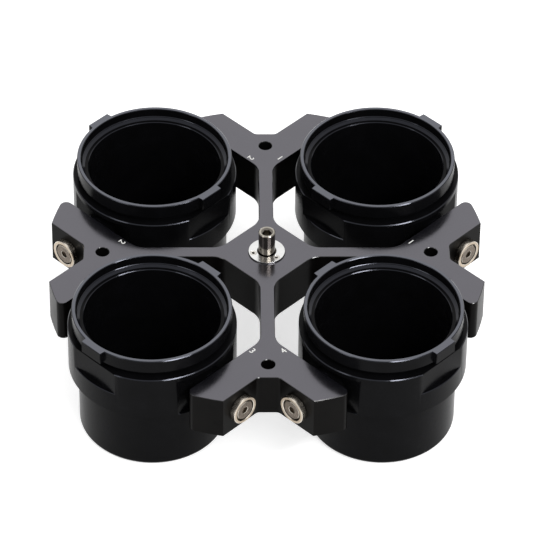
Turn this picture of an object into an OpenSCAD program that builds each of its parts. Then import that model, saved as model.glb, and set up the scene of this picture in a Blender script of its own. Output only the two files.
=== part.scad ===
// Swing-out rotor of a laboratory centrifuge. A cross-shaped plate turns on the drive
// shaft, and four buckets hang between its prongs on trunnion pins and swing outwards.
// Millimetres. Z is the spindle's axis, and Z = 0 is the plane of the buckets' undersides.
// The arms of the cross lie along X and Y, and the buckets lie on the diagonals.

/* [Rotor cross] */
// How far the outer face of each prong reaches past the trunnion axis
prong_past = 17.6; // [14:0.1:28]
// Thickness of the cross
cross_t = 35; // [31:0.5:37]
// Width of the neck of each arm
neck_w = 10.5; // [8:0.5:16]
// Distance from the axis to the flat hub faces, on the diagonals
hub_reach = 28; // [25:0.5:34]
// Thickness of each prong
prong_t = 26; // [23:0.5:28]
// Width of the floor of the notch in each arm's end
notch_floor_w = 15.5; // [9.5:0.5:21.5]
// Radius in the corners of the four windows
window_corner_r = 16; // [6:0.5:17]
// Radius in the corners of the notches
notch_corner_r = 5; // [2:0.5:8]
// Radius on the outer corner of each prong
prong_corner_r = 3; // [1:0.5:4]
// Radius on the bucket side of each prong's end
prong_end_r = 5; // [1:0.5:6]
// Diameter of the hole in each arm
arm_hole_d = 10; // [6:0.5:12]
// Distance from the centre of each arm's hole to the floor of its notch
arm_hole_back = 14; // [12:0.5:17]

/* [Buckets] */
// Diameter of the circle through the buckets' axes
bucket_pcd = 238; // [234:1:246]
// Diameter of the bucket's bore
bore_d = 100; // [94:0.5:101]
// Height of the bucket
bucket_h = 107; // [106:0.5:125]
// Height of the trunnion axis over the underside
pivot_h = 68; // [62:0.5:68]
// Thickness of the wall
wall_t = 4.5; // [3.5:0.1:4.9]
// Thickness of the floor
floor_t = 6; // [4:0.5:10]
// Radius on the outer edge of the floor
bottom_edge_r = 4; // [1:0.5:4]
// Radius in the inner corner of the floor
floor_corner_r = 3; // [1:0.5:6]

/* [Bucket mouth] */
// Diameter of the mouth over the lid seat
mouth_d = 111; // [108:0.5:112]
// Depth of the lid seat under the rim
seat_depth = 8.5; // [6:0.25:10]
// Width of the flat ledge round the bore
seat_w = 2.6; // [1.5:0.1:3.5]
// Height of the cone between the seat and the mouth
seat_cone_h = 1.5; // [0.5:0.1:2.5]
// Width of the step above the cone
seat_step_w = 1.1; // [0.5:0.1:1.6]
// Height of the step above the cone
seat_step_h = 0.8; // [0.4:0.1:1.5]
// Thickness of the rim round the mouth
rim_t = 2.9; // [2:0.1:4]
// Height of the rim flange
flange_h = 11; // [9:0.5:11.5]
// Chamfer on the outer edge of the rim
rim_chamfer = 0.5; // [0.2:0.1:1]
// Width of the two lugs on the rim
lug_w = 19.5; // [12:0.5:24]
// Height of the lugs
lug_h = 10; // [6:0.5:11]
// How far the lugs stand out of the rim
lug_out = 3.2; // [1:0.1:4]

/* [Bucket collar] */
// How far the collar stands out of the wall
collar_out = 7.2; // [6:0.1:8]
// Height of the collar above the trunnion axis
collar_up = 23.5; // [21:0.5:24]
// Depth of the collar below the trunnion axis
collar_down = 14; // [13:0.5:17]
// Chamfer on the collar's edges
collar_chamfer = 0.6; // [0.2:0.1:1]
// Depth of the flats on the inner and outer sides of the collar
flat_depth = 3.7; // [1:0.1:5]
// Height of those flats
flat_h = 19; // [10:0.5:24]
// Thickness of the collar left above the trunnion pockets
pocket_ceiling = 4.5; // [2:0.5:6]
// Thickness of the collar left below the trunnion pockets
pocket_lip = 1.4; // [1:0.1:3]
// Thickness of the hook round the journal
hook_t = 5.5; // [3:0.25:6]

/* [Trunnions] */
// Diameter of the journal that carries the bucket
journal_d = 18; // [12:0.5:19]
// Diameter of the pin inside its bush
shank_d = 15; // [8:0.5:15.5]
// Diameter of the bush inside the prong
bush_d = 20; // [17:0.5:21]
// Diameter of the bush's head
head_d = 22; // [21.5:0.5:26]
// Height of the bush's head
head_h = 5; // [3:0.5:6]
// Diameter of the recess round the end of the pin
recess_d = 17; // [16:0.25:18.5]
// Depth of that recess
recess_depth = 2; // [0.5:0.25:2.5]
// Size across flats of the socket in the pin's end
pin_hex = 5; // [2.5:0.5:6]
// Depth of that socket
pin_hex_depth = 3.5; // [2:0.5:6]

/* [Hub] */
// Diameter of the sleeve pressed into the cross
sleeve_d = 34; // [30:0.5:40]
// Diameter of the sleeve's spigot and of the hub flange
hub_flange_d = 27; // [25:0.5:29]
// Depth of the hub flange's recess in the cross
hub_flange_sunk = 3; // [2:0.25:4]
// How far the hub flange stands over the cross
hub_flange_up = 1.2; // [0.5:0.1:3]
// Depth of the spigot's shoulder below the hub flange
spigot_h = 2.5; // [1:0.25:3]
// Diameter of the shaft bore
shaft_d = 16; // [12:0.5:18]
// Length of the shaft bore
shaft_len = 21.5; // [15:0.5:22]
// Diameter of the hole for the shaft's threaded stud
stud_hole_d = 9.2; // [8.5:0.1:10]
// Number of screws in the hub flange
flange_screw_count = 3; // [3, 4, 6]
// Diameter of the circle through those screws
flange_screw_pcd = 20.6; // [20.4:0.1:21]
// Head diameter of those screws
flange_screw_head_d = 5; // [4:0.1:5.2]
// Thread diameter of those screws
flange_screw_d = 2.6; // [2:0.1:2.6]
// Length of those screws
flange_screw_len = 10; // [6:0.5:14]
// Size across flats of the sockets in those screws
flange_screw_hex = 2; // [1.3:0.1:2.2]

/* [Tie-down nut] */
// Diameter of the nut's stem
stem_d = 12.5; // [11:0.25:13]
// Height of the stem over the cross
stem_up = 20; // [12:0.5:30]
// Diameter of the captive collar
nut_collar_d = 16.4; // [15.2:0.1:16.6]
// Height of the captive collar
nut_collar_h = 3.4; // [2:0.1:4]
// Diameter of the thread bore
nut_thread_d = 8; // [6:0.5:8]
// Depth of the thread bore
nut_thread_depth = 16; // [8:0.5:18]
// Size across flats of the socket in the stem
nut_hex = 6; // [5:0.5:7]
// Depth of that socket
nut_hex_depth = 6; // [3:0.5:7]
// Diameter of the countersink over that socket
nut_sink_d = 9.4; // [8.5:0.1:10.5]
// Depth of the countersink
nut_sink_h = 1.2; // [0.5:0.1:2]
// Chamfer round the top of the stem
stem_chamfer = 0.6; // [0.3:0.1:1]
// Thickness of the thrust washer
washer_t = 1; // [0.5:0.1:2]

/* [Clearances] */
// Gap between the collar and the face of a prong
swing_gap = 3; // [1.5:0.1:4]
// Radial gap between a journal and its hook
journal_gap = 0.05; // [0.02:0.01:0.1]
// Gap between a pin's nose and the floor of its pocket
nose_gap = 0.5; // [0.3:0.1:1]
// How far a pocket's floor stands out of the wall
pocket_skin = 0.5; // [0.2:0.1:1]
// Radial gap of parts pressed or bolted together
seat_gap = 0.02; // [0.01:0.01:0.05]
// Radial gap round the nut's stem
stem_gap = 1; // [0.5:0.1:1.5]
// Gap at the ends and round the edge of the nut's collar
collar_gap = 0.3; // [0.2:0.05:0.5]

/* [Hidden] */
BUCKETS = [1, 2, 3, 4];
SIDES = ["a", "b"];

$fn = 96;
cut = 1;                // overshoot of cutting shapes
tangent_slack = 0.02;   // how far a fillet's circle crosses the faces it joins
arms = 4;
quarter = 360 / arms;
hex_sides = 6;
root_half = sqrt(2) / 2;

// Heights
cross_z0 = pivot_h - cross_t / 2;
cross_z1 = pivot_h + cross_t / 2;
collar_z0 = pivot_h - collar_down;
collar_z1 = pivot_h + collar_up;
flange_z0 = bucket_h - flange_h;
seat_z = bucket_h - seat_depth;

// Bucket radii
bucket_r = bucket_pcd / 2;
bore_r = bore_d / 2;
body_r = bore_r + wall_t;
mouth_r = mouth_d / 2;
rim_r = mouth_r + rim_t;
collar_r = body_r + collar_out;
pocket_floor = body_r + pocket_skin;

// Cross
window_half = collar_r + swing_gap;
prong_outer = window_half + prong_t;
cross_r = norm([bucket_r + prong_past, prong_outer]);
neck_root = neck_w * root_half;
notch_apex = prong_outer / root_half;
notch_reach = notch_apex + notch_floor_w / 2;
arm_hole_r = notch_reach - arm_hole_back;

// Trunnions, measured from the bucket's axis
journal_r = journal_d / 2;
slot_r = journal_r + journal_gap;
hook_r = slot_r + hook_t;
nose = pocket_floor + nose_gap;
pin_end_set_back = 0.3;

// Hub
flange_seat_z = cross_z1 - hub_flange_sunk;
spigot_z = flange_seat_z - spigot_h;
flange_top_z = cross_z1 + hub_flange_up;
nut_collar_z1 = flange_seat_z - collar_gap;
nut_collar_z0 = nut_collar_z1 - nut_collar_h;
washer_z1 = nut_collar_z0 - collar_gap;
washer_z0 = washer_z1 - washer_t;
nut_cavity_r = nut_collar_d / 2 + collar_gap;
shaft_z1 = cross_z0 + shaft_len;
screw_head_h = (flange_screw_head_d - flange_screw_d) / 2;
screw_first_angle = 74;

function unit(v) = v / norm(v);
function across_corners(across_flats) = across_flats / cos(180 / hex_sides);

// Bucket i hangs on the diagonal at bucket_angle(i).
function bucket_angle(i) = quarter * (i - 0.5);

// The sliver between a corner at p, with edges along a and b, and its fillet. The circle
// crosses both edges by a hair, so that the arc and the faces meet in clean edges.
module corner_waste(p, a, b, r) {
    half = acos(a * b) / 2;
    tangent = r / tan(half);
    centre = p + unit(a + b) * r / sin(half);
    difference() {
        polygon([p, p + a * tangent, p + b * tangent]);
        translate(centre) circle(r = r + tangent_slack);
    }
}

// The sliver outside the fillet of radius r where the line y = reach meets the circle of
// radius rim. Facing is +1 where the material lies below the line, and -1 above it.
module rim_corner_waste(reach, facing, rim, r) {
    y = reach - facing * (r - tangent_slack);
    x = sqrt(pow(rim - r + tangent_slack, 2) - pow(y, 2));
    void_y = reach + facing * cut;
    difference() {
        polygon([[x, y], [x, void_y], [rim, void_y], [x, y] * (rim + 2 * r) / (rim - r)]);
        translate([x, y]) circle(r = r);
    }
}

// One window, seen along its diagonal: hub face, neck sides and prong faces.
module window_outline() {
    far = cross_r + cut;
    hub_t = hub_reach - neck_w * root_half;
    prong_d = window_half + neck_root;
    hub_corner = [hub_reach, hub_t];
    prong_corner = [prong_d, window_half];
    along_neck = [root_half, root_half];
    difference() {
        polygon([hub_corner, prong_corner, [far, window_half],
            [far, -window_half], [prong_d, -window_half], [hub_reach, -hub_t]]);
        for (s = [0, 1]) mirror([0, s]) {
            corner_waste(hub_corner, [0, -1], along_neck, window_corner_r);
            corner_waste(prong_corner, -along_neck, [1, 0], window_corner_r);
        }
    }
}

// One notch, seen along its arm: a flat floor and two slanted sides.
module notch_outline() {
    far = cross_r + cut;
    floor_half = notch_floor_w / 2;
    difference() {
        polygon([[notch_reach, floor_half], [far, far - notch_apex],
            [far, notch_apex - far], [notch_reach, -floor_half]]);
        for (s = [0, 1]) mirror([0, s])
            corner_waste([notch_reach, floor_half], [0, -1], [root_half, root_half], notch_corner_r);
    }
}

// The rounded corners at the ends of the two prongs beside one bucket.
module prong_end_waste() {
    for (s = [0, 1]) mirror([0, s]) {
        rim_corner_waste(prong_outer, 1, cross_r, prong_corner_r);
        rim_corner_waste(window_half, -1, cross_r, prong_end_r);
    }
}

module cross_outline() {
    difference() {
        circle(r = cross_r);
        for (i = BUCKETS) rotate(bucket_angle(i)) {
            window_outline();
            prong_end_waste();
        }
        for (i = BUCKETS) rotate(quarter * i) {
            notch_outline();
            translate([arm_hole_r, 0]) circle(d = arm_hole_d);
        }
    }
}

// Places its children at both trunnions of bucket i, or at one, along the pin's axis:
// Z runs outwards from the bucket's axis.
module at_trunnion(i, side) {
    turn = side == "a" ? 1 : -1;
    rotate(bucket_angle(i)) translate([bucket_r, 0, pivot_h]) rotate([-90 * turn, 0, 0]) children();
}

module rotor_cross() {
    color("#3a3c3f") difference() {
        translate([0, 0, cross_z0]) linear_extrude(cross_t) cross_outline();
        for (i = BUCKETS, s = SIDES) at_trunnion(i, s)
            translate([0, 0, window_half - cut]) cylinder(d = bush_d + 2 * seat_gap, h = prong_t + 2 * cut);
        translate([0, 0, cross_z0 - cut])
            cylinder(d = sleeve_d + 2 * seat_gap, h = spigot_z - cross_z0 + cut);
        translate([0, 0, spigot_z - cut]) cylinder(d = hub_flange_d + 2 * seat_gap, h = cross_t);
    }
}

module hub_sleeve() {
    color("#8f9296") difference() {
        union() {
            translate([0, 0, cross_z0]) cylinder(d = sleeve_d, h = spigot_z - cross_z0);
            translate([0, 0, cross_z0]) cylinder(d = hub_flange_d, h = flange_seat_z - cross_z0);
        }
        translate([0, 0, cross_z0 - cut]) cylinder(d = shaft_d, h = shaft_len + cut);
        translate([0, 0, shaft_z1 - cut]) cylinder(d = stud_hole_d, h = washer_z0 - shaft_z1 + 2 * cut);
        translate([0, 0, washer_z0]) cylinder(r = nut_cavity_r, h = flange_seat_z - washer_z0 + cut);
        at_flange_screws() translate([0, 0, flange_top_z - flange_screw_len - cut])
            cylinder(d = flange_screw_d + 2 * seat_gap, h = flange_screw_len);
    }
}

module at_flange_screws() {
    for (k = [0:flange_screw_count - 1])
        rotate(screw_first_angle + k * 360 / flange_screw_count)
            translate([flange_screw_pcd / 2, 0, 0]) children();
}

// A countersunk screw with its head's face at Z = 0, larger all round by gap.
module countersunk(gap) {
    translate([0, 0, -screw_head_h])
        cylinder(d1 = flange_screw_d + 2 * gap, d2 = flange_screw_head_d + 2 * gap,
        h = screw_head_h);
    translate([0, 0, -flange_screw_len]) cylinder(d = flange_screw_d + 2 * gap, h = flange_screw_len);
}

module hub_flange() {
    color("#c9c6c0") difference() {
        translate([0, 0, flange_seat_z]) cylinder(d = hub_flange_d, h = flange_top_z - flange_seat_z);
        translate([0, 0, flange_seat_z - cut]) cylinder(d = stem_d + 2 * stem_gap, h = cross_t);
        at_flange_screws() translate([0, 0, flange_top_z]) countersunk(seat_gap);
    }
}

module hub_flange_screws() {
    color("#77736c") at_flange_screws() translate([0, 0, flange_top_z]) difference() {
        countersunk(0);
        translate([0, 0, -screw_head_h]) cylinder(d = across_corners(flange_screw_hex), h = flange_screw_len,
            $fn = hex_sides);
    }
}

module thrust_washer() {
    color("#b58a4a") difference() {
        translate([0, 0, washer_z0]) cylinder(d = nut_collar_d, h = washer_t);
        translate([0, 0, washer_z0 - cut]) cylinder(d = stud_hole_d, h = washer_t + 2 * cut);
    }
}

module tie_down_nut() {
    top_z = cross_z1 + stem_up;
    color("#4a4744") difference() {
        union() {
            translate([0, 0, nut_collar_z0]) cylinder(d = nut_collar_d, h = nut_collar_h);
            translate([0, 0, nut_collar_z0]) cylinder(d = stem_d, h = top_z - stem_chamfer - nut_collar_z0);
            translate([0, 0, top_z - stem_chamfer])
                cylinder(d1 = stem_d, d2 = stem_d - 2 * stem_chamfer, h = stem_chamfer);
        }
        translate([0, 0, nut_collar_z0 - cut]) cylinder(d = nut_thread_d, h = nut_thread_depth + cut);
        translate([0, 0, top_z - nut_hex_depth])
            cylinder(d = across_corners(nut_hex), h = nut_hex_depth + cut,
            $fn = hex_sides);
        translate([0, 0, top_z - nut_sink_h]) cylinder(d1 = nut_hex, d2 = nut_sink_d, h = nut_sink_h);
        translate([0, 0, top_z]) cylinder(d = nut_sink_d, h = cut);
    }
}

// Half of the bucket's section, from its axis outwards.
module bucket_section() {
    cone_z = seat_z + seat_cone_h;
    step_z = cone_z + seat_step_h;
    difference() {
        polygon([
            [0, 0], [body_r, 0],
            [body_r, collar_z0], [collar_r - collar_chamfer, collar_z0],
            [collar_r, collar_z0 + collar_chamfer], [collar_r, collar_z1 - collar_chamfer],
            [collar_r - collar_chamfer, collar_z1], [body_r, collar_z1],
            [body_r, flange_z0], [rim_r, flange_z0],
            [rim_r, bucket_h - rim_chamfer], [rim_r - rim_chamfer, bucket_h],
            [mouth_r, bucket_h], [mouth_r, step_z],
            [mouth_r - seat_step_w, step_z], [mouth_r - seat_step_w, cone_z],
            [bore_r + seat_w, seat_z], [bore_r, seat_z],
            [bore_r, floor_t], [0, floor_t]
        ]);
        corner_waste([body_r, 0], [-1, 0], [0, 1], bottom_edge_r);
    }
    corner_waste([bore_r, floor_t], [-1, 0], [0, 1], floor_corner_r);
}

// An upside-down U round the trunnion axis, open downwards past the collar.
module hook_outline(r) {
    circle(r = r);
    translate([-r, -collar_down - cut]) square([2 * r, collar_down + cut]);
}

// The pocket beside one trunnion: it is milled round the hook, and the hook's slot
// lets the bucket drop onto the journal.
module trunnion_pocket() {
    reach = collar_r + cut - pocket_floor;
    pocket_z0 = -collar_down + pocket_lip;
    pocket_z1 = collar_up - pocket_ceiling;
    translate([0, pocket_floor + reach, pivot_h]) rotate([90, 0, 0]) linear_extrude(reach) {
        difference() {
            translate([-collar_r, pocket_z0]) square([2 * collar_r, pocket_z1 - pocket_z0]);
            hook_outline(hook_r);
        }
        hook_outline(slot_r);
    }
}

module bucket(i) {
    lug_root = (mouth_r + rim_r) / 2;
    color("#2f3134") rotate(bucket_angle(i)) translate([bucket_r, 0, 0]) {
        difference() {
            rotate_extrude() bucket_section();
            for (s = [0, 1]) mirror([0, s, 0]) trunnion_pocket();
            for (s = [0, 1]) mirror([s, 0, 0])
                translate([collar_r - flat_depth, -collar_r, collar_z1 - flat_h])
                cube([flat_depth + cut, 2 * collar_r, flat_h + cut]);
        }
        for (s = [0, 1]) mirror([s, 0, 0]) translate([lug_root, -lug_w / 2, bucket_h - lug_h])
            cube([rim_r + lug_out - lug_root, lug_w, lug_h]);
    }
}

module trunnion_bush(i, side) {
    color("#a9a59d") at_trunnion(i, side) difference() {
        union() {
            translate([0, 0, window_half]) cylinder(d = bush_d, h = prong_t);
            translate([0, 0, prong_outer]) cylinder(d = head_d, h = head_h);
        }
        translate([0, 0, window_half - cut])
            cylinder(d = shank_d + 2 * seat_gap, h = prong_t + head_h + 2 * cut);
        translate([0, 0, prong_outer + head_h - recess_depth])
            cylinder(d = recess_d, h = recess_depth + cut);
    }
}

module trunnion_pin(i, side) {
    pin_end = prong_outer + head_h - pin_end_set_back;
    color("#b7b3aa") at_trunnion(i, side) difference() {
        union() {
            translate([0, 0, nose]) cylinder(d = journal_d, h = window_half - nose);
            translate([0, 0, nose]) cylinder(d = shank_d, h = pin_end - nose);
        }
        translate([0, 0, pin_end - pin_hex_depth])
            cylinder(d = across_corners(pin_hex), h = pin_hex_depth + cut,
            $fn = hex_sides);
    }
}

rotor_cross();
hub_sleeve();
hub_flange();
hub_flange_screws();
thrust_washer();
tie_down_nut();
for (i = BUCKETS) bucket(i);
for (i = BUCKETS, s = SIDES) trunnion_pin(i, s);
for (i = BUCKETS, s = SIDES) trunnion_bush(i, s);
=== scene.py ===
"""Looks of a swing out rotor: its cross, hub, trunnions and four buckets, dressed on their frame.

Everything is in metres, in the frame's own place: the hub's axis is Z, the buckets stand on Z = 0.
"""

from __future__ import annotations

import logging
import math
from dataclasses import dataclass, field
from enum import Enum

import bmesh
import bpy
from mathutils import Matrix, Vector

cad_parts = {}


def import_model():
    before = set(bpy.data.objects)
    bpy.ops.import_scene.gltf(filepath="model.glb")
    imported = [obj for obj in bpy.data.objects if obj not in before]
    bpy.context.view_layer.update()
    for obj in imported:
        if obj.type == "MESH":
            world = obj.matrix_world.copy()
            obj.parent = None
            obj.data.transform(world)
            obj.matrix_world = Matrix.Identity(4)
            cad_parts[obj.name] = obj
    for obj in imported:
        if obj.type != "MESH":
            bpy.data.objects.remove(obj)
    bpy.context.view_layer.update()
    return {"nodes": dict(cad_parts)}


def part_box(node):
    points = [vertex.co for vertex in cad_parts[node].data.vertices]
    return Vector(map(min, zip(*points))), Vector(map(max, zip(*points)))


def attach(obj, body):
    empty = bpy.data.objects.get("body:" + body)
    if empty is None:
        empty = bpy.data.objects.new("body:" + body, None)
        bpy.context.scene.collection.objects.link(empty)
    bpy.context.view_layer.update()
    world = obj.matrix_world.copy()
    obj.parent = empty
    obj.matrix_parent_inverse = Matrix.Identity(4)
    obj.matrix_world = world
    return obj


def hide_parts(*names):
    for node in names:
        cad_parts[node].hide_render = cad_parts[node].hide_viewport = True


LOG = logging.getLogger("swing_out_rotor")
MM = 0.001
UP = Vector((0.0, 0.0, 1.0))
PLACES = 4
LATHE = "lathe"
RING_TREE = "ring_of_copies"

# How far apart two points are that count as one, in a copied shape and in a finished one, and
# how far a point is from a plane that it counts as lying on.
HAIR = 0.03 * MM
SAME_POINT = 1.0e-6
ON_PLANE = 1.0e-7

# How far a shape turns at an edge: at most, for one flat face; at least, for a crease in its
# shading, for an edge that is broken, and for the inner edge of a slit.
FLAT_BEND = math.radians(0.4)
CREASE_BEND = math.radians(36.0)
RIDGE_BEND = math.radians(60.0)
SLIT_BEND = math.radians(179.0)

# How much a faced face looks along its axis, and how much a shining edge looks up, at least:
# 1 is straight along it or straight up.
FACED = 0.94
SHINING = 0.3

# How a finish is mixed: the grain's share beside the patches, the part of a noise's range that
# is used, how far a tool mark changes the roughness, and how many marks a wall has for each one
# on a face.
GRAIN_SHARE = 0.35
NOISE_SPAN = (0.3, 0.7)
MARK_DULL = 0.03
WALL_MARKS = 0.77

# How strongly the even shading follows the larger faces; 50 is not at all.
EVEN_WEIGHT = 60

Colour = tuple[float, float, float]


def tint(red: int, green: int, blue: int) -> Colour:
    """Turns a display colour into the linear one that shaders work in.

    Args:
        red: Red, from 0 to 255.
        green: Green, from 0 to 255.
        blue: Blue, from 0 to 255.

    Returns:
        The linear colour.
    """
    def linear(level: int) -> float:
        """One channel, from display to linear."""
        share = level / 255
        return share / 12.92 if share <= 0.04045 else ((share + 0.055) / 1.055) ** 2.4

    return linear(red), linear(green), linear(blue)


def link(name: str, data: bpy.types.ID) -> bpy.types.Object:
    """Puts an object in the scene.

    Args:
        name: The object's name.
        data: What it shows.

    Returns:
        The object, at the origin.
    """
    thing = bpy.data.objects.new(name, data)
    bpy.context.scene.collection.objects.link(thing)
    return thing


def harden(holder: bpy.types.Object) -> bpy.types.Mesh:
    """Turns what an object shows into a plain mesh, and takes the object away.

    Args:
        holder: The object.

    Returns:
        The mesh.
    """
    bpy.context.view_layer.update()
    mesh = bpy.data.meshes.new_from_object(
        holder.evaluated_get(bpy.context.evaluated_depsgraph_get()))
    holder.modifiers.clear()
    bpy.data.objects.remove(holder)
    return mesh


def toward(azimuth: float, elevation: float) -> Vector:
    """Gives the direction from the rotor to a place in the studio.

    Args:
        azimuth: Where it is round the rotor, in degrees; 0 is in front.
        elevation: How high it is, in degrees.

    Returns:
        The direction.
    """
    around, above = math.radians(azimuth), math.radians(elevation)
    return Vector((math.sin(around) * math.cos(above), -math.cos(around) * math.cos(above),
                   math.sin(above)))


def diagonal(place: int) -> Vector:
    """Gives the direction from the hub to a bucket.

    Args:
        place: The bucket's number, from 1.

    Returns:
        The direction.
    """
    angle = math.radians(45.0 + 360.0 / PLACES * (place - 1))
    return Vector((math.cos(angle), math.sin(angle), 0.0))


class Cut(Enum):
    """How a face of a machined piece was made, which decides its finish."""

    FACED = 0
    WALL = 1
    EDGE = 2

    @property
    def feed(self) -> str:
        """The name of a node tree's input for the finish of such faces."""
        return f"{self.name.title()} Finish"


class Slot(Enum):
    """Names of material slots."""

    CROSS = "anodised_cross"
    BUCKET = "anodised_bucket"
    SLEEVE = "sleeve_steel"
    FLANGE = "flange_steel"
    SCREW = "screw_steel"
    WASHER = "washer_bronze"
    NUT = "nut_steel"
    PIN = "pin_steel"
    BUSH = "bush_steel"


class Graph:
    """Writes a node tree one node at a time."""

    def __init__(self, tree: bpy.types.NodeTree) -> None:
        """Starts on an empty tree.

        Args:
            tree: The tree to write in; what it holds is cleared.
        """
        self.tree = tree
        tree.nodes.clear()

    def add(self, kind: str, feeds: dict[int | str, object] | None = None,
            **settings: object) -> bpy.types.Node:
        """Adds a node.

        Args:
            kind: Blender's name for the node's type.
            feeds: What goes into each input: a number, a colour, or another node's output.
            settings: The node's own properties.

        Returns:
            The new node.
        """
        node = self.tree.nodes.new(kind)
        for name, value in settings.items():
            setattr(node, name, value)
        for key, value in (feeds or {}).items():
            socket = node.inputs[key]
            if isinstance(value, bpy.types.NodeSocket):
                self.tree.links.new(value, socket)
            elif isinstance(value, tuple) and len(value) == 3 and socket.type == "RGBA":
                socket.default_value = (*value, 1.0)
            else:
                socket.default_value = value
        return node

    def maths(self, operation: str, *values: object) -> bpy.types.NodeSocket:
        """Adds a sum on numbers.

        Args:
            operation: The sum, by Blender's name.
            values: What it works on, in order.

        Returns:
            The result's socket.
        """
        return self.add("ShaderNodeMath", dict(enumerate(values)), operation=operation).outputs[0]

    def spread(self, value: bpy.types.NodeSocket, low: float, high: float,
               start: float = 0.0, end: float = 1.0) -> bpy.types.NodeSocket:
        """Maps a share onto a range.

        Args:
            value: The share.
            low: What the range starts at.
            high: What the range ends at.
            start: The share that gives low.
            end: The share that gives high.

        Returns:
            The mapped number's socket.
        """
        feeds = {"Value": value, "From Min": start, "From Max": end,
                 "To Min": low, "To Max": high}
        return self.add("ShaderNodeMapRange", feeds).outputs["Result"]

    def noise(self, place: bpy.types.NodeSocket, scale: float,
              detail: float) -> bpy.types.NodeSocket:
        """Adds a noise pattern.

        Args:
            place: The coordinates to read.
            scale: How many waves the pattern has in a metre.
            detail: How many finer layers it has.

        Returns:
            The pattern's socket, from 0 to 1.
        """
        feeds = {"Vector": place, "Scale": scale, "Detail": detail}
        return self.add("ShaderNodeTexNoise", feeds).outputs["Fac"]

    def blend(self, share: bpy.types.NodeSocket, first: Colour,
              second: Colour) -> bpy.types.NodeSocket:
        """Mixes two colours.

        Args:
            share: How much of the second there is.
            first: The first colour.
            second: The second colour.

        Returns:
            The mixed colour's socket.
        """
        node = self.add("ShaderNodeMix", {0: share}, data_type="RGBA")
        node.inputs[6].default_value = (*first, 1.0)
        node.inputs[7].default_value = (*second, 1.0)
        return node.outputs[2]


def blank_material(name: str) -> tuple[bpy.types.Material, Graph]:
    """Makes a material with nothing in it yet.

    Args:
        name: Its name.

    Returns:
        The material, and its graph.
    """
    material = bpy.data.materials.new(name)
    material.use_nodes = True
    return material, Graph(material.node_tree)


@dataclass(frozen=True)
class Metal:
    """A metal surface, with its grain, its cloudy patches and the marks of the tool.

    Attributes:
        name: The material's name.
        dark: The darker colour of its patches.
        light: The lighter colour of its patches.
        metallic: 1 for bare metal, 0 for an anodised skin.
        roughness: How dull it is on average.
        ior: How strongly an anodised skin mirrors.
        mirror: The tint of what an anodised skin mirrors.
        unevenness: How much the roughness changes from patch to patch.
        patch: How many patches there are in a metre.
        grain: How many grains there are in a metre.
        grain_depth: How far the grain stands up, in metres.
        marks: How many tool marks there are in a metre; 0 leaves them out.
        marks_depth: How deep the tool marks are, in metres.
    """

    name: str
    dark: Colour
    light: Colour
    metallic: float = 0.0
    roughness: float = 0.3
    ior: float = 1.45
    mirror: Colour = (1.0, 1.0, 1.0)
    unevenness: float = 0.04
    patch: float = 70.0
    grain: float = 2600.0
    grain_depth: float = 2.0e-6
    marks: float = 0.0
    marks_depth: float = 0.0

    def material(self) -> bpy.types.Material:
        """Gives the finish as a material, made once.

        Returns:
            The material.
        """
        known = bpy.data.materials.get(self.name)
        if known is not None:
            return known
        material, graph = blank_material(self.name)
        material.diffuse_color = (*self.light, 1.0)
        place = graph.add("ShaderNodeTexCoord").outputs["Object"]
        patches = graph.noise(place, self.patch, detail=3.0)
        grain = graph.noise(place, self.grain, detail=1.0)
        mixed = graph.maths("MULTIPLY_ADD", grain, GRAIN_SHARE,
                            graph.maths("MULTIPLY", patches, 1.0 - GRAIN_SHARE))
        colour = graph.blend(graph.spread(mixed, 0.0, 1.0, *NOISE_SPAN), self.dark, self.light)
        dull = graph.spread(mixed, self.roughness - self.unevenness,
                            self.roughness + self.unevenness, *NOISE_SPAN)
        relief = graph.add("ShaderNodeBump", {"Height": grain, "Strength": 1.0,
                                              "Distance": self.grain_depth})
        normal = relief.outputs["Normal"]
        if self.marks:
            rings = self._rings(graph)
            normal = graph.add("ShaderNodeBump", {"Height": rings, "Strength": 1.0,
                                                  "Distance": self.marks_depth,
                                                  "Normal": normal}).outputs["Normal"]
            dull = graph.maths("ADD", dull, graph.spread(rings, -MARK_DULL, MARK_DULL))
        shader = graph.add("ShaderNodeBsdfPrincipled", {
            "Base Color": colour, "Roughness": dull, "Normal": normal,
            "Metallic": self.metallic, "IOR": self.ior, "Specular Tint": self.mirror})
        graph.add("ShaderNodeOutputMaterial", {"Surface": shader.outputs[0]})
        return material

    def _rings(self, graph: Graph) -> bpy.types.NodeSocket:
        """Adds the marks that turning leaves round the axis that the piece carries.

        Args:
            graph: The material's graph.

        Returns:
            The marks' height, from 0 to 1.
        """
        lathe = graph.add("ShaderNodeAttribute", attribute_name=LATHE).outputs["Vector"]
        parts = graph.add("ShaderNodeSeparateXYZ", {0: lathe})
        across = graph.maths("SQRT", graph.maths(
            "ADD", graph.maths("POWER", parts.outputs[0], 2.0),
            graph.maths("POWER", parts.outputs[1], 2.0)))
        along = graph.maths("MULTIPLY_ADD", parts.outputs[2], WALL_MARKS, across)
        feeds = {"W": along, "Scale": self.marks, "Detail": 2.0}
        return graph.add("ShaderNodeTexNoise", feeds, noise_dimensions="1D").outputs["Fac"]


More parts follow.
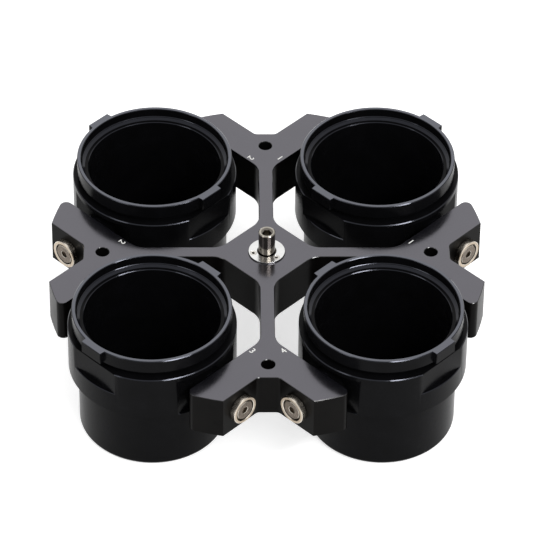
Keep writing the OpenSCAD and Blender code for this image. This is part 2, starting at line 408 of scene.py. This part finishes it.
@dataclass(frozen=True)
class Ink:
    """The white fill of an engraved number.

    Attributes:
        name: The material's name.
        colour: The fill's colour.
        worn: The colour where the fill is thin.
        thin: The part of the noise's range over which it wears thin.
        speckles: How many speckles there are in a metre.
        depth: How far they stand up, in metres.
        roughness: How dull it is.
    """

    name: str = "number_fill_white"
    colour: Colour = tint(236, 236, 232)
    worn: Colour = tint(196, 196, 194)
    thin: tuple[float, float] = (0.55, 0.75)
    speckles: float = 3200.0
    depth: float = 1.0e-5
    roughness: float = 0.55

    def material(self) -> bpy.types.Material:
        """Gives the fill as a material, made once.

        Returns:
            The material.
        """
        known = bpy.data.materials.get(self.name)
        if known is not None:
            return known
        material, graph = blank_material(self.name)
        place = graph.add("ShaderNodeTexCoord").outputs["Object"]
        speckle = graph.noise(place, self.speckles, detail=3.0)
        colour = graph.blend(graph.spread(speckle, 0.0, 1.0, *self.thin), self.colour, self.worn)
        relief = graph.add("ShaderNodeBump", {"Height": speckle, "Strength": 1.0,
                                              "Distance": self.depth})
        shader = graph.add("ShaderNodeBsdfPrincipled", {
            "Base Color": colour, "Normal": relief.outputs["Normal"],
            "Roughness": self.roughness})
        graph.add("ShaderNodeOutputMaterial", {"Surface": shader.outputs[0]})
        return material


@dataclass(frozen=True)
class Finishes:
    """The finishes of one machined piece, one for each kind of cut.

    Attributes:
        faced: What the flat tops and undersides have.
        wall: What the walls, bores and pockets have.
        edge: What the broken edges have.
    """

    faced: Metal
    wall: Metal
    edge: Metal

    def materials(self) -> list[bpy.types.Material]:
        """Lists the materials in the order of Cut."""
        return [self.faced.material(), self.wall.material(), self.edge.material()]


@dataclass(frozen=True)
class Ring:
    """Sets a shape out in a ring round the hub's axis, by a node tree.

    Attributes:
        count: How many copies there are.
        stands_for: The frame's nodes that the copies stand for.
        first_angle: How far the first copy is turned, in degrees.
    """

    count: int
    stands_for: tuple[str, ...]
    first_angle: float = 0.0

    def tree(self) -> bpy.types.NodeTree:
        """Gives the node tree, made once.

        Returns:
            The tree, with its sizes and finishes as named inputs.
        """
        known = bpy.data.node_groups.get(RING_TREE)
        if known is not None:
            return known
        tree = bpy.data.node_groups.new(RING_TREE, "GeometryNodeTree")
        tree.interface.new_socket("Shape", in_out="INPUT", socket_type="NodeSocketGeometry")
        tree.interface.new_socket("Count", in_out="INPUT", socket_type="NodeSocketInt")
        tree.interface.new_socket("First Angle", in_out="INPUT", socket_type="NodeSocketFloat")
        for cut in Cut:
            tree.interface.new_socket(cut.feed, in_out="INPUT", socket_type="NodeSocketMaterial")
        tree.interface.new_socket("Ring", in_out="OUTPUT", socket_type="NodeSocketGeometry")
        graph = Graph(tree)
        given = graph.add("NodeGroupInput").outputs
        spots = graph.add("GeometryNodePoints", {"Count": given["Count"]})
        share = graph.maths("DIVIDE", graph.add("GeometryNodeInputIndex").outputs[0],
                            given["Count"])
        angle = graph.maths("MULTIPLY_ADD", share, math.tau, given["First Angle"])
        turn = graph.add("ShaderNodeCombineXYZ", {"Z": angle})
        turn = graph.add("FunctionNodeEulerToRotation", {0: turn.outputs[0]})
        copies = graph.add("GeometryNodeInstanceOnPoints", {
            "Points": spots.outputs[0], "Instance": given["Shape"], "Rotation": turn.outputs[0]})
        shape = graph.add("GeometryNodeRealizeInstances", {0: copies.outputs[0]}).outputs[0]
        which = graph.add("GeometryNodeInputMaterialIndex").outputs[0]
        for cut in Cut:
            chosen = graph.add("FunctionNodeCompare", {2: which, 3: cut.value},
                               data_type="INT", operation="EQUAL").outputs[0]
            shape = graph.add("GeometryNodeSetMaterial", {
                "Geometry": shape, "Selection": chosen, "Material": given[cut.feed]}).outputs[0]
        graph.add("NodeGroupOutput", {0: shape})
        return tree

    def set_out(self, mesh: bpy.types.Mesh, finishes: Finishes) -> bpy.types.Mesh:
        """Repeats a shape.

        Args:
            mesh: The shape, where its first copy is at an angle of 0.
            finishes: What its faces have.

        Returns:
            All the copies, as one plain mesh.
        """
        values = {"Count": self.count, "First Angle": math.radians(self.first_angle)}
        for cut, material in zip(Cut, finishes.materials()):
            values[cut.feed] = material
        holder = link("ring_holder", mesh)
        ring = holder.modifiers.new("ring", "NODES")
        ring.node_group = self.tree()
        for socket in ring.node_group.interface.items_tree:
            if socket.name in values:
                ring[socket.identifier] = values[socket.name]
        copies = harden(holder)
        copies.name = mesh.name
        return copies


VIOLET = (0.92, 0.89, 1.0)
BLUISH = (0.82, 0.85, 1.0)
CROSS_TOP = Metal("anodised_cross_faced", tint(3, 3, 5), tint(20, 20, 24), roughness=0.16,
                  ior=1.72, mirror=VIOLET, grain=1300.0, grain_depth=1.6e-6)
CROSS_WALL = Metal("anodised_cross_wall", tint(9, 8, 8), tint(14, 13, 12),
                   roughness=0.30, ior=1.12)
CROSS_EDGE = Metal("anodised_cross_edge", tint(9, 9, 11), tint(13, 13, 16),
                   roughness=0.12, ior=1.45)
BUCKET_TOP = Metal("anodised_bucket_faced", tint(7, 8, 10), tint(10, 11, 14),
                   roughness=0.22, ior=1.76, mirror=BLUISH, marks=9000.0, marks_depth=1.0e-6)
BUCKET_WALL = Metal("anodised_bucket_wall", tint(9, 9, 10), tint(14, 14, 16),
                    roughness=0.25, ior=1.12, marks=5000.0, marks_depth=2.5e-6)
BUCKET_EDGE = Metal("anodised_bucket_edge", tint(9, 9, 12), tint(13, 14, 18),
                    roughness=0.12, ior=1.38, mirror=BLUISH)
SLEEVE = Metal("sleeve_turned_steel", tint(122, 122, 120), tint(138, 138, 136), metallic=1.0,
               roughness=0.34, marks=5000.0, marks_depth=2.0e-6)
FLANGE = Metal("flange_faced_steel", tint(168, 168, 167), tint(188, 188, 187), metallic=1.0,
               roughness=0.2, marks=7000.0, marks_depth=1.2e-6)
# The screw's socket and every face below its head's top, coloured dark brown: painted shade in the
# socket recess.
SOCKET_SHADE = Metal("screw_socket_painted_shade", tint(44, 30, 20), tint(74, 52, 38), metallic=1.0,
               roughness=0.4, grain=3600.0, grain_depth=4.0e-6)
SCREW = Metal("screw_steel", tint(132, 122, 110), tint(158, 148, 136), metallic=1.0,
              roughness=0.28, marks=6000.0, marks_depth=1.5e-6)
WASHER = Metal("washer_bronze", tint(168, 128, 78), tint(186, 146, 96), metallic=1.0,
               roughness=0.36, marks=6000.0, marks_depth=2.0e-6)
NUT_TOP = Metal("nut_faced_steel", tint(122, 118, 110), tint(146, 142, 134), metallic=1.0,
                roughness=0.18, marks=6000.0, marks_depth=1.2e-6)
NUT_WALL = Metal("nut_ground_steel", tint(104, 99, 92), tint(126, 121, 114), metallic=1.0,
                 roughness=0.12, marks=6000.0, marks_depth=1.5e-6)
PIN_FACE = Metal("pin_blasted_steel", tint(60, 52, 46), tint(136, 125, 113), metallic=1.0,
                 roughness=0.42, unevenness=0.08, patch=900.0, grain=4200.0,
                 grain_depth=1.2e-5)
PIN_WALL = Metal("pin_ground_steel", tint(172, 166, 156), tint(190, 184, 174), metallic=1.0,
                 roughness=0.2, marks=6500.0, marks_depth=1.5e-6)
BUSH_FACE = Metal("bush_turned_steel", tint(170, 157, 140), tint(196, 182, 164), metallic=1.0,
                  roughness=0.5, marks=6500.0, marks_depth=2.0e-6)
# The bush's bore, coloured dark brown: painted shade for the deep groove round the pin.
BUSH_BORE_SHADE = Metal("bush_bore_painted_shade", tint(58, 50, 42), tint(84, 74, 64), metallic=1.0,
                  roughness=0.4, marks=5000.0, marks_depth=2.0e-6)
BUSH_WALL = Metal("bush_polished_steel", tint(190, 182, 170), tint(206, 198, 187),
                  metallic=1.0, roughness=0.25, marks=6500.0, marks_depth=0.6e-6)


@dataclass
class Machined:
    """A piece that stands for frame nodes of the same shape, with broken edges and its finishes.

    Attributes:
        name: The piece's name.
        nodes: The frame's nodes that it stands for.
        body: The body that it rides on.
        slot: A material slot name; not used.
        finishes: What its faces have.
        edge: How wide a broken edge is.
        spindle: A point on the axis that the piece was turned about.
        axis: That axis's direction.
        across: A direction square to the axis, where the shape has one of its own.
        extra_cuts: The normals of other planes through the spindle that part its holes.
        ring: How the piece is repeated, where it is.
    """

    name: str
    nodes: tuple[str, ...]
    body: str
    slot: Slot
    finishes: Finishes
    edge: float = 0.4 * MM
    spindle: Vector = field(default_factory=lambda: Vector((0.0, 0.0, 0.0)))
    axis: Vector = field(default_factory=lambda: UP.copy())
    across: Vector | None = None
    extra_cuts: tuple[Vector, ...] = ()
    ring: Ring | None = None

    def shape(self, nodes: dict[str, bpy.types.Object]) -> bpy.types.Mesh:
        """Copies the nodes' shape, sorts its faces by cut and breaks its edges.

        Args:
            nodes: The frame's objects by name.

        Returns:
            The piece's mesh, in place.
        """
        form = bmesh.new()
        for node in self.nodes:
            form.from_mesh(nodes[node].data)
        bmesh.ops.remove_doubles(form, verts=form.verts, dist=HAIR)
        self.pick(form)
        self.quarter(form)
        bmesh.ops.dissolve_limit(form, angle_limit=FLAT_BEND, verts=form.verts,
                                 edges=form.edges, use_dissolve_boundaries=False,
                                 delimit={"SEAM"})
        self.close_slits(form)
        for face in form.faces:
            face.material_index = self.cut_of(face).value
        self.break_edges(form)
        bmesh.ops.remove_doubles(form, verts=form.verts, dist=SAME_POINT)
        form.normal_update()
        for face in form.faces:
            if face.material_index == Cut.EDGE.value:
                face.material_index = self.broken(face).value
        for edge in form.edges:
            edge.smooth = not self.crease(edge)
        mesh = bpy.data.meshes.new(self.name)
        form.to_mesh(mesh)
        form.free()
        mesh.polygons.foreach_set("use_smooth", [True] * len(mesh.polygons))
        self.mark_spindle(mesh)
        return mesh

    def pick(self, form: bmesh.types.BMesh) -> None:
        """Keeps the part of the copied shape that the piece is made from: all of it here.

        Args:
            form: The copied shape.
        """

    def quarter(self, form: bmesh.types.BMesh) -> None:
        """Splits the faces along the axis, so that no face runs right round a hole.

        Args:
            form: The copied shape.
        """
        first = self.axis.orthogonal().normalized() if self.across is None else self.across
        normals = (first, self.axis.cross(first), *self.extra_cuts)
        for normal in normals:
            whole = [*form.verts, *form.edges, *form.faces]
            bmesh.ops.bisect_plane(form, geom=whole, dist=ON_PLANE, plane_co=self.spindle,
                                   plane_no=normal)
        for edge in form.edges:
            edge.seam = any(all(abs((end.co - self.spindle).dot(normal)) < SAME_POINT
                                for end in edge.verts) for normal in normals)

    def close_slits(self, form: bmesh.types.BMesh) -> None:
        """Closes each cut of no width, by drawing its inner edge back to its mouth.

        Args:
            form: The copied shape.
        """
        inner_to_mouth = {}
        for edge in form.edges:
            if (not edge.is_manifold or edge.is_convex
                    or edge.calc_face_angle(0.0) < SLIT_BEND):
                continue
            side = min(edge.link_faces, key=lambda face: face.calc_area())
            for corner in side.loops:
                if corner.vert in edge.verts:
                    near = (corner.link_loop_next.vert, corner.link_loop_prev.vert)
                    inner_to_mouth[corner.vert] = near[near[0] in edge.verts]
        bmesh.ops.weld_verts(form, targetmap=inner_to_mouth)
        LOG.info("%s: %d corners of slits closed", self.name, len(inner_to_mouth))

    def ridges(self, form: bmesh.types.BMesh) -> list[bmesh.types.BMEdge]:
        """Lists the sharp outer edges.

        Args:
            form: The copied shape.

        Returns:
            The edges that a maker would break.
        """
        return [edge for edge in form.edges if edge.is_manifold and edge.is_convex
                and edge.calc_face_angle(0.0) > RIDGE_BEND]

    def crease(self, edge: bmesh.types.BMEdge) -> bool:
        """Says whether the shading stops at an edge.

        Args:
            edge: The edge, after the outer ones are broken.

        Returns:
            Whether two surfaces meet there, such as a wall and its chamfer.
        """
        return not edge.is_manifold or edge.calc_face_angle(0.0) > CREASE_BEND

    def break_edges(self, form: bmesh.types.BMesh) -> None:
        """Breaks every sharp outer edge by the same width.

        Args:
            form: The copied shape.
        """
        bmesh.ops.bevel(form, geom=self.ridges(form), offset=self.edge, offset_type="OFFSET",
                        segments=1, profile=0.5, affect="EDGES", clamp_overlap=False,
                        loop_slide=True, material=Cut.EDGE.value)

    def cut_of(self, face: bmesh.types.BMFace) -> Cut:
        """Says how a face was made, from where it looks.

        Args:
            face: The face, before its edges are broken.

        Returns:
            The kind of cut.
        """
        return Cut.FACED if abs(face.normal.dot(self.axis)) > FACED else Cut.WALL

    def broken(self, face: bmesh.types.BMFace) -> Cut:
        """Says what finish a broken edge has: its own here.

        Args:
            face: One of the broken edge's faces.

        Returns:
            The kind of cut.
        """
        return Cut.EDGE

    def mark_spindle(self, mesh: bpy.types.Mesh) -> None:
        """Writes on each point where it is as seen from the axis that the piece was turned about.

        Args:
            mesh: The piece's mesh.
        """
        turn = self.axis.rotation_difference(UP).to_matrix()
        spots = [tuple(turn @ (point.co - self.spindle)) for point in mesh.vertices]
        lathe = mesh.attributes.new(LATHE, "FLOAT_VECTOR", "POINT")
        lathe.data.foreach_set("vector", [value for spot in spots for value in spot])

    def dress(self, piece: bpy.types.Object) -> bpy.types.Object:
        """Gives the piece its even shading, and ties it to the frame.

        Args:
            piece: The finished piece, at the origin.

        Returns:
            The same piece.
        """
        even = piece.modifiers.new("even_shading", "WEIGHTED_NORMAL")
        even.mode = "FACE_AREA"
        even.weight = EVEN_WEIGHT
        even.keep_sharp = True
        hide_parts(*(self.ring.stands_for if self.ring else self.nodes))
        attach(piece, self.body)
        LOG.info("%s: %d faces, rides on %s", piece.name, len(piece.data.polygons), self.body)
        return piece

    def build(self, nodes: dict[str, bpy.types.Object]) -> bpy.types.Object:
        """Makes the piece and dresses it.

        Args:
            nodes: The frame's objects by name.

        Returns:
            The piece.
        """
        mesh = self.shape(nodes)
        for material in self.finishes.materials():
            mesh.materials.append(material)
        if self.ring:
            mesh = self.ring.set_out(mesh, self.finishes)
        return self.dress(link(self.name, mesh))


@dataclass
class Anodised(Machined):
    """A black anodised piece, which shines only along the edges that face up."""

    def broken(self, face: bmesh.types.BMFace) -> Cut:
        """Says what finish a broken edge has, from where it looks.

        Args:
            face: One of the broken edge's faces.

        Returns:
            The kind of cut.
        """
        return Cut.EDGE if face.normal.z > SHINING else Cut.WALL


@dataclass
class BucketBody(Anodised):
    """A bucket, whose rim is faced, and whose rim and collar have turned chamfers.

    Attributes:
        rim: How high the rim is.
        collar_top: How high the collar's top edge is.
        collar: The collar's radius.
        chamfer: How far in from that radius the collar's chamfer reaches.
        slack: How far from a height a face still counts as being at it.
    """

    rim: float = 107.0 * MM
    collar_top: float = 91.5 * MM
    collar: float = 61.7 * MM
    chamfer: float = 0.75 * MM
    slack: float = 1.0 * MM

    def cut_of(self, face: bmesh.types.BMFace) -> Cut:
        """Says how a face was made: only the rim is faced bright.

        Args:
            face: The face, before its edges are broken.

        Returns:
            The kind of cut; a chamfer counts as an edge.
        """
        if face.normal.z > FACED:
            high = face.calc_center_median().z > self.rim - self.slack
            return Cut.FACED if high else Cut.WALL
        return Cut.EDGE if face.normal.z > SHINING else Cut.WALL

    def broken(self, face: bmesh.types.BMFace) -> Cut:
        """Says what finish an edge has: the milled flats cut the collar's chamfer away.

        Args:
            face: One of the edge's faces.

        Returns:
            The kind of cut.
        """
        middle = face.calc_center_median()
        turned = (middle - self.spindle).xy.length > self.collar - self.chamfer
        on_collar = middle.z < self.collar_top + self.slack
        if face.normal.z < SHINING or (on_collar and not turned):
            return Cut.WALL
        return Cut.EDGE


@dataclass
class Bush(Machined):
    """A trunnion's bush: its end is turned, its head polished, and its bore coloured dark as
    painted shade.

    Attributes:
        bore: How far from the axis the bore's faces are at most.
    """

    bore: float = 8.7 * MM

    def cut_of(self, face: bmesh.types.BMFace) -> Cut:
        """Says how a face was made, from how far from the axis it is.

        Args:
            face: The face, before its edges are broken.

        Returns:
            The kind of cut; the polished head counts as an edge.
        """
        arms = [point.co - self.spindle for point in face.verts]
        # Faces of the bore take the wall finish, whose dark colour paints the groove's shade.
        if max((arm - self.axis * arm.dot(self.axis)).length for arm in arms) < self.bore:
            return Cut.WALL
        return Cut.FACED if abs(face.normal.dot(self.axis)) > FACED else Cut.EDGE


@dataclass
class Flange(Machined):
    """The hub's flange, whose top face is filled anew round its holes."""

    def pick(self, form: bmesh.types.BMesh) -> None:
        """Fills the top face anew, with every hole left open.

        Args:
            form: The copied shape.
        """
        top = max(point.co.z for point in form.verts) - HAIR
        faced = [face for face in form.faces if all(point.co.z > top for point in face.verts)]
        bmesh.ops.delete(form, geom=faced, context="FACES")
        rims = [edge for edge in form.edges if edge.is_boundary]
        bmesh.ops.triangle_fill(form, edges=rims, use_beauty=True, use_dissolve=False,
                                normal=UP)


@dataclass
class Screw(Machined):
    """One screw of a ring of them, made from the one furthest back.

    Attributes:
        head_top: How high the top of its head is.
        slack: How far below it a face still belongs to the top.
    """

    head_top: float = 0.0
    slack: float = 0.1 * MM

    def cut_of(self, face: bmesh.types.BMFace) -> Cut:
        """Says how a face was made: all but the top of the head is coloured dark, as painted shade
        in the socket.

        Args:
            face: The face, before its edges are broken.

        Returns:
            The kind of cut.
        """
        # Every face below the head's top gets the dark colour that paints the socket's shade.
        high = face.calc_center_median().z > self.head_top - self.slack
        return Cut.FACED if high else Cut.WALL

    def pick(self, form: bmesh.types.BMesh) -> None:
        """Keeps only the screw that is furthest back.

        Args:
            form: The copied shape.
        """
        found = {max(form.verts, key=lambda point: point.co.y)}
        to_follow = list(found)
        while to_follow:
            point = to_follow.pop()
            for edge in point.link_edges:
                other = edge.other_vert(point)
                if other not in found:
                    found.add(other)
                    to_follow.append(other)
        rest = [point for point in form.verts if point not in found]
        bmesh.ops.delete(form, geom=rest, context="VERTS")


@dataclass
class RotorCross:
    """The cross with its four arms, and the numbers that say which bucket hangs where.

    Attributes:
        top: How high the cross's top face is.
        bore_height: How high the prongs' bores are.
        number_size: How tall a number is.
        font_ratio: A font's size over the height of its numbers.
        number_out: How far a number is from the hub, along its bucket's diagonal.
        number_across: How far it is to each side of that diagonal.
        fill_proud: How far the white fill stands out of the face.
        stroke_gain: How much bolder a number is than its font, on each side of a stroke.
    """

    top: float = 85.5 * MM
    bore_height: float = 68.0 * MM
    number_size: float = 5.0 * MM
    font_ratio: float = 1.42
    number_out: float = 84.3 * MM
    number_across: float = 68.2 * MM
    fill_proud: float = 0.03 * MM
    stroke_gain: float = 0.08 * MM

    def build(self, nodes: dict[str, bpy.types.Object]) -> None:
        """Makes the cross and its numbers.

        Args:
            nodes: The frame's objects by name.
        """
        Anodised("cross", ("rotor_cross",), "rotor", Slot.CROSS,
                 Finishes(CROSS_TOP, CROSS_WALL, CROSS_EDGE), edge=0.35 * MM,
                 spindle=UP * self.bore_height, across=Vector((1.0, 0.0, 0.0)),
                 extra_cuts=(UP,)).build(nodes)
        for place in range(1, PLACES + 1):
            for side in (-1, 1):
                self.number(place, side)

    def number(self, place: int, side: int) -> bpy.types.Object:
        """Makes one white number, which reads upright from outside its bucket.

        Args:
            place: The bucket's number, from 1.
            side: 1 or -1, the side of the diagonal that the number is on.

        Returns:
            The number's piece.
        """
        out = diagonal(place)
        across = UP.cross(out)
        words = bpy.data.curves.new(f"number_{place}", "FONT")
        words.body = str(place)
        words.size = self.number_size * self.font_ratio
        words.align_x = "CENTER"
        words.align_y = "CENTER"
        words.extrude = self.fill_proud
        words.offset = self.stroke_gain
        mesh = harden(link("number_holder", words))
        spot = out * self.number_out + across * side * self.number_across + UP * self.top
        turn = Matrix((across, -out, UP)).transposed().to_4x4()
        mesh.transform(Matrix.Translation(spot) @ turn)
        mesh.materials.clear()
        mesh.materials.append(Ink().material())
        name = f"number_{place}_{'left' if side < 0 else 'right'}"
        piece = link(name, mesh)
        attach(piece, "rotor")
        LOG.info("%s: a bucket's number", name)
        return piece


@dataclass
class Hub:
    """What is in the middle of the cross: sleeve, flange with its screws, and washer.

    Attributes:
        screw_count: How many screws hold the flange.
        screw_angle: Where the first one is round the hub, in degrees.
    """

    screw_count: int = 3
    screw_angle: float = 74.0

    def build(self, nodes: dict[str, bpy.types.Object]) -> None:
        """Makes the hub's pieces.

        Args:
            nodes: The frame's objects by name.
        """
        turns = [math.radians(self.screw_angle + 360.0 * index / self.screw_count)
                 for index in range(self.screw_count)]
        past_screws = tuple(Vector((-math.sin(turn), math.cos(turn), 0.0)) for turn in turns)
        for make, name, node, slot, metal, edge in (
            (Machined, "sleeve", "hub_sleeve", Slot.SLEEVE, SLEEVE, 0.3),
            (Flange, "flange", "hub_flange", Slot.FLANGE, FLANGE, 0.05),
            (Machined, "washer", "thrust_washer", Slot.WASHER, WASHER, 0.15),
        ):
            make(name, (node,), "rotor", slot, Finishes(metal, metal, metal),
                 edge=edge * MM, extra_cuts=past_screws).build(nodes)
        screws = ("hub_flange_screws",)
        # The screws' walls take the dark colour that paints the socket's shade.
        Screw("flange_screws", screws, "rotor", Slot.SCREW, Finishes(SCREW, SOCKET_SHADE, SCREW),
              edge=0.12 * MM, ring=Ring(self.screw_count, screws),
              head_top=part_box("hub_flange_screws")[1].z).build(nodes)


@dataclass
class TieDownNut:
    """The captive nut that draws the rotor down on its shaft."""

    def build(self, nodes: dict[str, bpy.types.Object]) -> None:
        """Makes the nut.

        Args:
            nodes: The frame's objects by name.
        """
        Machined("nut", ("tie_down_nut",), "tie_down_nut", Slot.NUT,
                 Finishes(NUT_TOP, NUT_WALL, NUT_TOP), edge=0.2 * MM).build(nodes)


@dataclass
class Trunnions:
    """The eight pins that the buckets hang on, and the bushes that hold them."""

    def build(self, nodes: dict[str, bpy.types.Object]) -> None:
        """Makes the pins and bushes of the first bucket, and sets them out for every bucket.

        Args:
            nodes: The frame's objects by name.
        """
        low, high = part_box("trunnion_pin_1a")
        middle = (low + high) / 2
        axis = Vector((-1.0, 1.0, 0.0)).normalized()
        for make, name, node, slot, finishes, edge in (
            (Machined, "trunnion_pins", "trunnion_pin", Slot.PIN,
             Finishes(PIN_FACE, PIN_WALL, PIN_WALL), 0.3),
            # The bushes' bores take the dark colour that paints the groove's shade.
            (Bush, "trunnion_bushes", "trunnion_bush", Slot.BUSH,
             Finishes(BUSH_FACE, BUSH_BORE_SHADE, BUSH_WALL), 0.45),
        ):
            copies = tuple(f"{node}_{place}{side}"
                           for place in range(1, PLACES + 1) for side in "ab")
            make(name, copies[:2], "rotor", slot, finishes, edge * MM, middle, axis,
                 ring=Ring(PLACES, copies)).build(nodes)


@dataclass
class Buckets:
    """The four swinging buckets."""

    def build(self, nodes: dict[str, bpy.types.Object]) -> None:
        """Makes the buckets.

        Args:
            nodes: The frame's objects by name.
        """
        for place in range(1, PLACES + 1):
            name = f"bucket_{place}"
            low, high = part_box(name)
            middle = (low + high) / 2
            BucketBody(f"{name}_body", (name,), name, Slot.BUCKET,
                       Finishes(BUCKET_TOP, BUCKET_WALL, BUCKET_EDGE), 0.4 * MM,
                       Vector((middle.x, middle.y, 0.0)),
                       across=diagonal(place)).build(nodes)


@dataclass(frozen=True)
class SoftBox:
    """A square studio lamp.

    Attributes:
        name: The lamp's name.
        azimuth: Where it is round the rotor, in degrees; 0 is in front.
        elevation: How high it is, in degrees.
        distance: How far it is from the rotor.
        width: How wide it is.
        height: How high its panel is.
        glow: How bright the panel is, where 1 is white.
    """

    name: str
    azimuth: float
    elevation: float
    distance: float
    width: float
    height: float
    glow: float

    def build(self, target: Vector) -> bpy.types.Object:
        """Hangs the lamp and points it at the rotor.

        Args:
            target: Where it points.

        Returns:
            The lamp.
        """
        data = bpy.data.lights.new(self.name, "AREA")
        data.shape = "RECTANGLE"
        data.size = self.width
        data.size_y = self.height
        data.energy = self.glow * math.pi * self.width * self.height
        lamp = link(self.name, data)
        back = toward(self.azimuth, self.elevation)
        lamp.location = target + back * self.distance
        lamp.rotation_mode = "QUATERNION"
        lamp.rotation_quaternion = (-back).to_track_quat("-Z", "Y")
        return lamp


@dataclass
class Studio:
    """The camera, the lamps, the pale floor and the white surroundings.

    Attributes:
        azimuth: The camera's place round the rotor, in degrees.
        elevation: Its height above the horizon, in degrees.
        roll: How far it leans, in degrees.
        distance: How far it is from its target.
        target: What it looks at.
        lens: Its focal length, in millimetres.
        sensor: How wide its sensor is, in millimetres.
        clip: The nearest and the furthest that it sees.
        floor_side: How long a side of the floor is.
        floor_paper: How much of the light on it the floor gives back.
        floor_glow: How much brighter it looks than that.
        lit: How bright the surroundings are as a light on the rotor, where 1 is white.
        lamps: The lamps.
    """

    azimuth: float = -0.904
    elevation: float = 41.911
    roll: float = 0.61
    distance: float = 3201.3 * MM
    target: Vector = field(default_factory=lambda: Vector((-0.045, 0.0, 70.892)) * MM)
    lens: float = 290.0
    sensor: float = 36.0
    clip: tuple[float, float] = (0.05, 60.0)
    floor_side: float = 14.0
    floor_paper: float = 0.8
    floor_glow: float = 0.62
    lit: float = 0.75
    lamps: tuple[SoftBox, ...] = (
        SoftBox("lamp_back", 172.0, 50.0, 2.0, 2.0, 1.9, 0.95),
        SoftBox("lamp_right", 33.0, 44.0, 2.2, 1.2, 0.15, 32.0),
        SoftBox("lamp_left", -56.0, 42.0, 2.2, 0.8, 0.25, 3.0),
    )

    def camera(self) -> bpy.types.Object:
        """Sets up the camera and makes it the scene's.

        Returns:
            The camera.
        """
        data = bpy.data.cameras.new("camera")
        data.sensor_width = self.sensor
        data.lens = self.lens
        data.clip_start, data.clip_end = self.clip
        camera = link("camera", data)
        around, lean = math.radians(self.azimuth), math.radians(self.roll)
        back = toward(self.azimuth, self.elevation)
        level = Vector((math.cos(around), math.sin(around), 0.0))
        upright = back.cross(level)
        right = level * math.cos(lean) + upright * math.sin(lean)
        up = upright * math.cos(lean) - level * math.sin(lean)
        camera.matrix_world = (Matrix.Translation(self.target + back * self.distance)
                               @ Matrix((right, up, back)).transposed().to_4x4())
        bpy.context.scene.camera = camera
        return camera

    def floor(self) -> bpy.types.Object:
        """Lays the pale floor that the buckets stand on.

        Returns:
            The floor.
        """
        half = self.floor_side / 2
        mesh = bpy.data.meshes.new("floor")
        mesh.from_pydata([(-half, -half, 0.0), (half, -half, 0.0), (half, half, 0.0),
                          (-half, half, 0.0)], [], [(0, 1, 2, 3)])
        material, graph = blank_material("floor_pale")
        paper = graph.add("ShaderNodeBsdfDiffuse", {"Color": (self.floor_paper,) * 3})
        glow = graph.maths("MULTIPLY", self.seen(graph), self.floor_glow)
        shine = graph.add("ShaderNodeEmission", {"Color": (1.0, 1.0, 1.0), "Strength": glow})
        both = graph.add("ShaderNodeAddShader", {0: paper.outputs[0], 1: shine.outputs[0]})
        graph.add("ShaderNodeOutputMaterial", {"Surface": both.outputs[0]})
        mesh.materials.append(material)
        floor = link("floor", mesh)
        return floor

    def seen(self, graph: Graph) -> bpy.types.NodeSocket:
        """Adds a switch that is 1 for what is seen, mirrored or seen through, and 0 for light.

        Args:
            graph: The graph to add it to.

        Returns:
            The switch's socket.
        """
        path = graph.add("ShaderNodeLightPath")
        either = graph.maths("MAXIMUM", path.outputs["Is Camera Ray"],
                             path.outputs["Is Glossy Ray"])
        return graph.maths("MAXIMUM", either, path.outputs["Is Transmission Ray"])

    def surroundings(self) -> None:
        """Makes the surroundings white to the eye and a soft light on the rotor."""
        world = bpy.data.worlds.new("surroundings")
        world.use_nodes = True
        graph = Graph(world.node_tree)
        level = graph.spread(self.seen(graph), self.lit, 1.0)
        ground = graph.add("ShaderNodeBackground", {"Color": (1.0, 1.0, 1.0), "Strength": level})
        graph.add("ShaderNodeOutputWorld", {"Surface": ground.outputs[0]})
        bpy.context.scene.world = world

    def build(self) -> None:
        """Lights the rotor and lays the floor."""
        for lamp in self.lamps:
            lamp.build(self.target)
        self.floor()
        self.surroundings()
        bpy.context.scene.view_settings.view_transform = "Standard"


def main() -> None:
    """Builds the studio and every sub-assembly in order."""
    logging.basicConfig(level=logging.INFO, format="%(name)s %(message)s")
    studio = Studio()
    studio.camera()
    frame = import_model()
    for assembly in (RotorCross(), Hub(), TieDownNut(), Trunnions(), Buckets()):
        assembly.build(frame["nodes"])
    studio.build()


if __name__ == "__main__":
    main()
